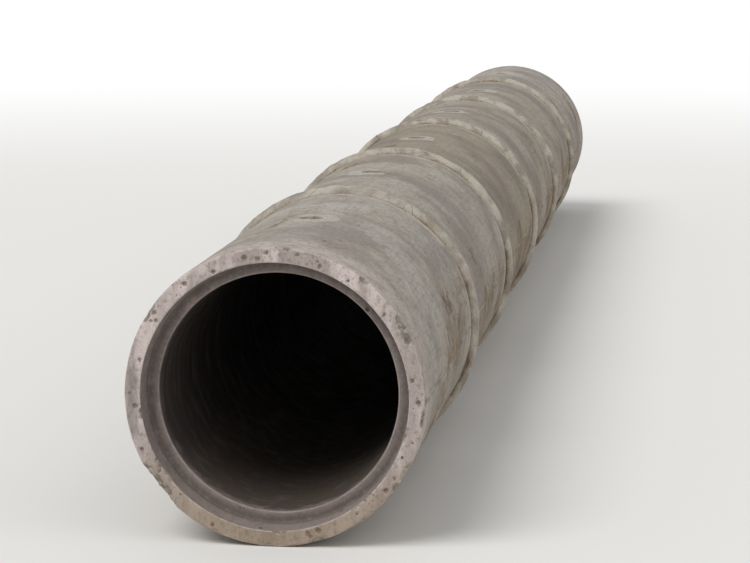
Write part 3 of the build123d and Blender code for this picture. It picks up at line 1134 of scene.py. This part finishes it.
def trowelled_mortar(colours):
    """Cement mortar spread by hand: finer and a little paler than the pipe, open and sandy, with
    trowel drag, a few shrinkage cracks across it, a faint lime bloom, and soil caught in its
    feathered edges."""
    finish = Finish("trowelled_mortar", JOINT_MASKS, MORTAR_GRAINS)
    bloom = finish.total(0.0, (finish.bloom, 0.7), (finish.crumbs, 0.3))
    feathered = finish.cover((finish.thin_edge, 0.25, 1.0, -0.05, 0.17))
    cling = finish.total(soil_cling(finish), (feathered, 1.0))
    soil = finish.lay(colours.topsoil_and_shade, (colours.clay, (finish.blotch, 0.40, 0.60)))
    place = add_node(finish.tree, "Mapping", {"Vector": finish.place, "Scale": (1.0, 0.4, 1.0)})[0]
    inputs = {"Vector": place, "Scale": 1 / (190 * MM), "Randomness": CELL_RANDOMNESS}
    crack_line = add_node(finish.tree, "TexVoronoi", inputs, feature="DISTANCE_TO_EDGE")[0]
    crack_line = finish.total(crack_line, (finish.crack_edge, 0.02))
    crack = finish.cover((crack_line, 0.0145, 0.0115), (finish.crack_patches, 0.50, 0.56))
    holes, hole_depth = finish.bowls(8, 0.25, 0.28)
    colour = finish.lay(
        colours.mortar_dark,
        (colours.mortar_light_and_highlight, (finish.blotch, 0.36, 0.62)),
        (colours.lime, (bloom, 0.53, 0.66, 0.0, 0.35)),
        (colours.clay, (cling, 0.46, 0.64, 0.0, 0.5)),
        (soil, (cling, 0.61, 0.66), 0.8),
        (colours.topsoil_and_shade, crack, 0.65),
        (colours.grime, (finish.sand, 0.35, 0.65, 0.0, 0.35)),
        # Painted shade in the mortar's air holes
        (colours.topsoil_and_shade, holes, 0.55),
        # Painted shade of the bore, with its silt, on the mortar there
        (colours.bore_silt_and_shade, finish.bore_skin, 0.9),
    )
    return finish.close(
        colour,
        CEMENT_ROUGHNESS,
        (finish.sand, 1.0),
        (finish.drag, 2.0),
        (finish.crumbs, 3.2),
        (finish.blotch, 2.5),
        (hole_depth, -2.5),
        (crack, -1.5),
    )


def packed_grout(colours):
    """Stiff cement grout pushed in by hand: lumpy and open, with soil caught round its edge."""
    finish = Finish("packed_grout", JOINT_MASKS, GROUT_GRAINS)
    edge_soil = finish.total(finish.lumps, (finish.thin_edge, 0.25))
    holes, hole_depth = finish.bowls(8, 0.35, 0.30)
    colour = finish.lay(
        colours.mortar_dark,
        (colours.grout, (finish.lumps, 0.36, 0.62)),
        (colours.topsoil_and_shade, (edge_soil, 0.55, 0.72, 0.0, 0.8)),
        (colours.grime, (finish.sand, 0.35, 0.65, 0.0, 0.35)),
        # Painted shade in the grout's air holes
        (colours.topsoil_and_shade, holes, 0.6),
        # Painted shade of the bore, with its film, on the grout there
        (colours.bore_film_and_shade, finish.bore_skin, 0.9),
    )
    return finish.close(
        colour, CEMENT_ROUGHNESS, (finish.sand, 0.6), (finish.lumps, 3.0), (hole_depth, -2.4)
    )


# Stage

FLOOR_HALF = 60.0
FLOOR_PAINT = "#E4E2DE"
PAINT_FADE = (4.5, 14.0)
PLAIN_WHITE = (1.0, 1.0, 1.0, 1.0)
SKY_COLOUR = (0.95, 0.97, 1.0, 1.0)
SKY_STRENGTH = 0.48

# Azimuth 0 is the camera's side of the mouth, -Y, and it grows towards +X
SUNS = {
    "soft_key": {"azimuth": -38, "elevation": 52, "spread": 35, "strength": 1.85},
    "soft_fill": {"azimuth": 70, "elevation": 38, "spread": 60, "strength": 0.45},
}
VIEW_AZIMUTH = math.radians(10)
VIEW_ELEVATION = math.radians(11)
VIEW_DISTANCE = 6.35
AIM = Vector((0.02, MOUTH_Y + 1.75, 0.42))
LENS_MM = 122
SENSOR_MM = 36


def seen_directly(tree):
    """1 for rays of the camera, of a mirror or through glass, which see the backdrop itself, and
    0 for the rest."""
    rays = add_node(tree, "LightPath")
    direct = rays["Is Camera Ray"]
    for name in ("Is Glossy Ray", "Is Transmission Ray"):
        direct = add_node(tree, "Math", (direct, rays[name]), operation="MAXIMUM")[0]
    return direct


def backdrop_paint():
    """Matt pale paint that fades to plain white far from the object, for rays that see it
    directly."""
    finish = Finish("pale_matt_floor_paint")
    paint = {"Base Color": Color(hex_to_linear(FLOOR_PAINT)), "Roughness": 0.9}
    paint = add_node(finish.tree, "BsdfPrincipled", paint)[0]
    white = add_node(finish.tree, "Emission", (PLAIN_WHITE, 1.0))[0]
    far = add_node(finish.tree, "VectorMath", [finish.place], operation="LENGTH")["Value"]
    fade = finish.cover((far, *PAINT_FADE), seen_directly(finish.tree))
    blend = add_node(finish.tree, "MixShader", (fade, paint, white))[0]
    add_node(finish.tree, "OutputMaterial", [blend])
    return finish.material


def set_world():
    """Even overcast light, with plain white behind the object for rays that see it directly."""
    world = bpy.data.worlds.new("overcast")
    world.use_nodes = True
    tree = world.node_tree
    tree.nodes.clear()
    sky = add_node(tree, "Background", (SKY_COLOUR, SKY_STRENGTH))[0]
    white = add_node(tree, "Background", (PLAIN_WHITE, 1.0))[0]
    blend = add_node(tree, "MixShader", (seen_directly(tree), sky, white))[0]
    add_node(tree, "OutputWorld", [blend])
    bpy.context.scene.world = world


def towards(azimuth, elevation):
    """Unit vector to a direction: sin a cos e across, -cos a cos e along and sin e up."""
    flat = math.cos(elevation)
    return Vector((flat * math.sin(azimuth), -flat * math.cos(azimuth), math.sin(elevation)))


def add_sun(name, azimuth, elevation, spread, strength):
    """Soft even light from one direction, in degrees."""
    lamp = bpy.data.lights.new(name, "SUN")
    lamp.angle = math.radians(spread)
    lamp.energy = strength
    holder = bpy.data.objects.new(name, lamp)
    light = towards(math.radians(azimuth), math.radians(elevation))
    holder.rotation_euler = (-light).to_track_quat("-Z", "Y").to_euler()
    bpy.context.scene.collection.objects.link(holder)


def place_piece(piece, node):
    """Puts a piece on the one body, in place of the frame's node."""
    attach(piece, "root")
    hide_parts(node)


def make_pieces(make, names, material, seeds):
    """Makes a piece for each of the names, each with its own seed."""
    for name, seed in zip(names, seeds):
        piece = make(name, bpy.context.scene.culvert_sizes, material, seed)
        place_piece(piece, name)


def mortar_material(colours):
    """The mortar that joints and beads share, made once."""
    return bpy.data.materials.get("trowelled_mortar") or trowelled_mortar(colours)


# Operators


class CULVERT_OT_pipe_sections(bpy.types.Operator):
    """Cast the pipe sections, with the mouth's finest"""

    bl_idname = "culvert.pipe_sections"
    bl_label = "Pipe sections"

    def execute(self, context):
        material = dry_cast_concrete(context.scene.culvert_colours)
        make_pieces(make_section, SECTIONS, material, count(100, 31))
        return {"FINISHED"}


class CULVERT_OT_joint_mortar(bpy.types.Operator):
    """Pack the joints between the sections with mortar"""

    bl_idname = "culvert.joint_mortar"
    bl_label = "Joint mortar"

    def execute(self, context):
        material = mortar_material(context.scene.culvert_colours)
        make_pieces(make_joint_mortar, MORTARS, material, count(300))
        return {"FINISHED"}


class CULVERT_OT_joint_beads(bpy.types.Operator):
    """Trowel a bead of mortar over each joint"""

    bl_idname = "culvert.joint_beads"
    bl_label = "Joint beads"

    def execute(self, context):
        material = mortar_material(context.scene.culvert_colours)
        make_pieces(make_joint_bead, BEADS, material, count(400, 17))
        return {"FINISHED"}


class CULVERT_OT_lift_hole_plugs(bpy.types.Operator):
    """Fill the lift holes with grout"""

    bl_idname = "culvert.lift_hole_plugs"
    bl_label = "Lift hole plugs"

    def execute(self, context):
        material = packed_grout(context.scene.culvert_colours)
        make_pieces(make_plug, PLUGS, material, count(500, 13))
        return {"FINISHED"}


class CULVERT_OT_stage(bpy.types.Operator):
    """Set the floor, the overcast light and the camera"""

    bl_idname = "culvert.stage"
    bl_label = "Stage"

    def execute(self, context):
        scene = context.scene
        corners = np.array([(-1, -1, 0), (1, -1, 0), (1, 1, 0), (-1, 1, 0)]) * FLOOR_HALF
        mesh = bpy.data.meshes.new("floor")
        mesh.from_pydata(corners.tolist(), [], [(0, 1, 2, 3)])
        mesh.materials.append(backdrop_paint())
        floor = bpy.data.objects.new("floor", mesh)
        scene.collection.objects.link(floor)
        set_world()
        for name, light in SUNS.items():
            add_sun(name, **light)
        camera = bpy.data.objects.new("camera", bpy.data.cameras.new("camera"))
        camera.data.sensor_width = SENSOR_MM
        camera.data.lens = LENS_MM
        mouth = Vector((0.0, MOUTH_Y, AXIS_Z))
        camera.location = mouth + VIEW_DISTANCE * towards(VIEW_AZIMUTH, VIEW_ELEVATION)
        camera.rotation_euler = (AIM - camera.location).to_track_quat("-Z", "Y").to_euler()
        scene.collection.objects.link(camera)
        scene.camera = camera
        scene.view_settings.view_transform = "Standard"
        return {"FINISHED"}


class CULVERT_PT_sidebar(bpy.types.Panel):
    """Lists the culvert's pieces"""

    bl_idname = "CULVERT_PT_sidebar"
    bl_label = "Culvert end"
    bl_space_type = "VIEW_3D"
    bl_region_type = "UI"
    bl_category = "Culvert"

    def draw(self, context):
        for operator in OPERATORS:
            self.layout.operator(operator.bl_idname)
        for group in (context.scene.culvert_sizes, context.scene.culvert_colours):
            for key in group.__annotations__:
                self.layout.prop(group, key)


OPERATORS = (
    CULVERT_OT_pipe_sections,
    CULVERT_OT_joint_mortar,
    CULVERT_OT_joint_beads,
    CULVERT_OT_lift_hole_plugs,
    CULVERT_OT_stage,
)
CLASSES = (CulvertSizes, CulvertColours, *OPERATORS, CULVERT_PT_sidebar)


def register():
    for cls in CLASSES:
        bpy.utils.register_class(cls)
    bpy.types.Scene.culvert_sizes = PointerProperty(type=CulvertSizes)
    bpy.types.Scene.culvert_colours = PointerProperty(type=CulvertColours)


def unregister():
    del bpy.types.Scene.culvert_colours
    del bpy.types.Scene.culvert_sizes
    for cls in reversed(CLASSES):
        bpy.utils.unregister_class(cls)


def main():
    """Registers the add-on and dresses the frame."""
    register()
    bpy.ops.culvert.stage()
    bpy.ops.culvert.pipe_sections()
    bpy.ops.culvert.joint_mortar()
    bpy.ops.culvert.joint_beads()
    bpy.ops.culvert.lift_hole_plugs()


if __name__ == "__main__":
    main()
